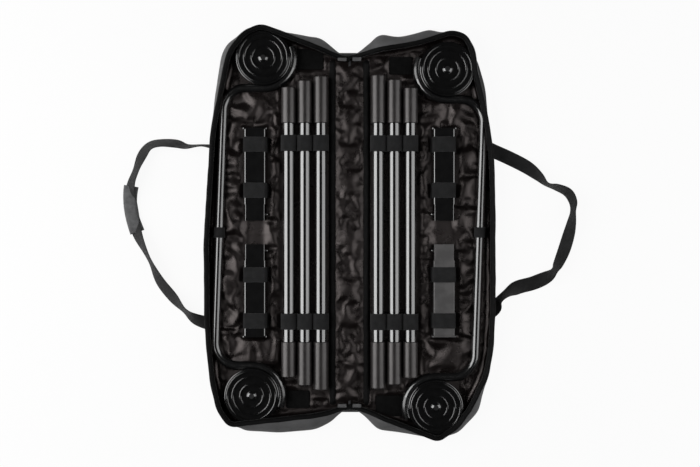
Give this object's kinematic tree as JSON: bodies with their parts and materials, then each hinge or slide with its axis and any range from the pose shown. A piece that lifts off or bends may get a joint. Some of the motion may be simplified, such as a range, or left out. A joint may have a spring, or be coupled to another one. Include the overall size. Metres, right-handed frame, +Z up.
{
  "type": "roundnet set",
  "caption": "Lawn game set packed in an open clamshell carry bag: poles, bent base tubes, foot discs and telescopic legs strapped in two padded trays.",
  "frame": {"origin": "on the floor under the middle of the spine panel of the opened bag", "axes": "+Z up, +Y along the spine towards the upper end of the bag, +X across the spine towards the right tray"},
  "size_m": [1.23, 1.1144, 0.0468],
  "materials": {
    "shell_fabric": "woven polyester pack cloth",
    "lining_fabric": "crinkled satin lining",
    "board": "stiff sheet",
    "binding": "woven binding tape",
    "zip": "zip tape and coil",
    "zip_metal": "dark enamelled",
    "elastic": "knitted elastic",
    "hook_loop": "hook-and-loop pile",
    "webbing": "woven webbing",
    "grip": "padded grip cloth",
    "pole_paint": "gloss black",
    "sleeve": "semi-matte moulded",
    "tube_paint": "gloss black",
    "tip_plastic": "moulded",
    "disc_plastic": "moulded, polished",
    "stud_steel": "black steel",
    "leg_paint": "gloss black",
    "leg_inner_paint": "gloss black",
    "button_steel": "bright"
  },
  "bodies": {
    "root": {"spine_panel": "shell_fabric", "spine_lining": "lining_fabric", "seam_bindings": "binding", "upper_zip_slider": "zip_metal", "lower_zip_slider": "zip_metal"},
    "left_half": {"left_shell": "shell_fabric", "left_base_board": "board", "left_lining": "lining_fabric", "left_zip_tape": "zip", "left_disc_patches": "hook_loop", "left_pole_loops": "elastic", "left_outer_loops": "elastic", "left_outer_pole": "pole_paint", "left_outer_pole_sleeves": "sleeve", "left_base_tube": "tube_paint", "left_base_tube_tips": "tip_plastic", "left_upper_leg_outer": "leg_paint", "left_lower_leg_outer": "leg_paint"},
    "right_half": {"right_shell": "shell_fabric", "right_base_board": "board", "right_lining": "lining_fabric", "right_zip_tape": "zip", "right_disc_patches": "hook_loop", "right_pole_loops": "elastic", "right_outer_loops": "elastic", "right_outer_pole": "pole_paint", "right_outer_pole_sleeves": "sleeve", "right_base_tube": "tube_paint", "right_base_tube_tips": "tip_plastic", "right_upper_leg_outer": "leg_paint", "right_lower_leg_outer": "leg_paint"},
    "left_handle": {"left_handle": "webbing", "left_grip_wrap": "grip"},
    "right_handle": {"right_handle": "webbing"},
    "left_middle_pole": {"left_middle_pole": "pole_paint", "left_middle_pole_sleeves": "sleeve"},
    "right_middle_pole": {"right_middle_pole": "pole_paint", "right_middle_pole_sleeves": "sleeve"},
    "left_inner_pole": {"left_inner_pole": "pole_paint", "left_inner_pole_sleeves": "sleeve"},
    "right_inner_pole": {"right_inner_pole": "pole_paint", "right_inner_pole_sleeves": "sleeve"},
    "left_upper_disc": {"left_upper_foot_disc": "disc_plastic", "left_upper_disc_stud": "stud_steel"},
    "left_lower_disc": {"left_lower_foot_disc": "disc_plastic", "left_lower_disc_stud": "stud_steel"},
    "right_upper_disc": {"right_upper_foot_disc": "disc_plastic", "right_upper_disc_stud": "stud_steel"},
    "right_lower_disc": {"right_lower_foot_disc": "disc_plastic", "right_lower_disc_stud": "stud_steel"},
    "left_upper_leg_inner": {"left_upper_leg_inner": "leg_inner_paint"},
    "left_lower_leg_inner": {"left_lower_leg_inner": "leg_inner_paint"},
    "right_upper_leg_inner": {"right_upper_leg_inner": "leg_inner_paint"},
    "right_lower_leg_inner": {"right_lower_leg_inner": "leg_inner_paint"},
    "left_upper_leg_button": {"left_upper_leg_button": "button_steel"},
    "left_lower_leg_button": {"left_lower_leg_button": "button_steel"},
    "right_upper_leg_button": {"right_upper_leg_button": "button_steel"},
    "right_lower_leg_button": {"right_lower_leg_button": "button_steel"},
    "upper_zip_pull": {"upper_zip_pull": "zip_metal"},
    "lower_zip_pull": {"lower_zip_pull": "zip_metal"}
  },
  "joints": [
    {"name": "left_half_fold", "type": "hinge", "parent": "root", "child": "left_half", "pos_m": [-0.046, 0, 0.001], "axis": [0, 1, 0], "range_deg": [0, 90]},
    {"name": "right_half_fold", "type": "hinge", "parent": "root", "child": "right_half", "pos_m": [0.046, 0, 0.001], "axis": [0, -1, 0], "range_deg": [0, 90]},
    {"name": "left_handle_fold", "type": "hinge", "parent": "left_half", "child": "left_handle", "pos_m": [-0.37487, 0.228, 0.0028], "axis": [-0.0311, -0.9995, 0], "range_deg": [-85, 0]},
    {"name": "right_handle_fold", "type": "hinge", "parent": "right_half", "child": "right_handle", "pos_m": [0.3772, -0.18, 0.0028], "axis": [0.0302, 0.9995, 0], "range_deg": [-85, 0]},
    {"name": "left_middle_pole_slide", "type": "slide", "parent": "left_half", "child": "left_middle_pole", "axis": [0, 1, 0], "range_m": [-0.012, 0.012]},
    {"name": "right_middle_pole_slide", "type": "slide", "parent": "right_half", "child": "right_middle_pole", "axis": [0, -1, 0], "range_m": [-0.012, 0.012]},
    {"name": "left_inner_pole_slide", "type": "slide", "parent": "left_half", "child": "left_inner_pole", "axis": [0, 1, 0], "range_m": [-0.012, 0.012]},
    {"name": "right_inner_pole_slide", "type": "slide", "parent": "right_half", "child": "right_inner_pole", "axis": [0, -1, 0], "range_m": [-0.012, 0.012]},
    {"name": "left_upper_disc_lift", "type": "slide", "parent": "left_half", "child": "left_upper_disc", "axis": [0, 0, -1], "range_m": [-0.06, 0]},
    {"name": "left_lower_disc_lift", "type": "slide", "parent": "left_half", "child": "left_lower_disc", "axis": [0, 0, -1], "range_m": [-0.06, 0]},
    {"name": "right_upper_disc_lift", "type": "slide", "parent": "right_half", "child": "right_upper_disc", "axis": [0, 0, -1], "range_m": [-0.06, 0]},
    {"name": "right_lower_disc_lift", "type": "slide", "parent": "right_half", "child": "right_lower_disc", "axis": [0, 0, -1], "range_m": [-0.06, 0]},
    {"name": "left_upper_leg_slide", "type": "slide", "parent": "left_half", "child": "left_upper_leg_inner", "axis": [0, -1, 0], "range_m": [-0.018, 0.025]},
    {"name": "left_lower_leg_slide", "type": "slide", "parent": "left_half", "child": "left_lower_leg_inner", "axis": [0, 1, 0], "range_m": [-0.018, 0.025]},
    {"name": "right_upper_leg_slide", "type": "slide", "parent": "right_half", "child": "right_upper_leg_inner", "axis": [0, -1, 0], "range_m": [-0.018, 0.025]},
    {"name": "right_lower_leg_slide", "type": "slide", "parent": "right_half", "child": "right_lower_leg_inner", "axis": [0, 1, 0], "range_m": [-0.018, 0.025]},
    {"name": "left_upper_button_press", "type": "slide", "parent": "left_upper_leg_inner", "child": "left_upper_leg_button", "axis": [-1, 0, 0], "range_m": [0, 0.006], "stiffness_N_per_m": 400},
    {"name": "left_lower_button_press", "type": "slide", "parent": "left_lower_leg_inner", "child": "left_lower_leg_button", "axis": [-1, 0, 0], "range_m": [0, 0.006], "stiffness_N_per_m": 400},
    {"name": "right_upper_button_press", "type": "slide", "parent": "right_upper_leg_inner", "child": "right_upper_leg_button", "axis": [1, 0, 0], "range_m": [0, 0.006], "stiffness_N_per_m": 400},
    {"name": "right_lower_button_press", "type": "slide", "parent": "right_lower_leg_inner", "child": "right_lower_leg_button", "axis": [1, 0, 0], "range_m": [0, 0.006], "stiffness_N_per_m": 400},
    {"name": "upper_zip_pull_swing", "type": "hinge", "parent": "root", "child": "upper_zip_pull", "pos_m": [0, 0.48, 0.0072], "axis": [-1, 0, 0], "range_deg": [0, 165]},
    {"name": "lower_zip_pull_swing", "type": "hinge", "parent": "root", "child": "lower_zip_pull", "pos_m": [0, -0.48, 0.0072], "axis": [1, 0, 0], "range_deg": [0, 165]}
  ]
}
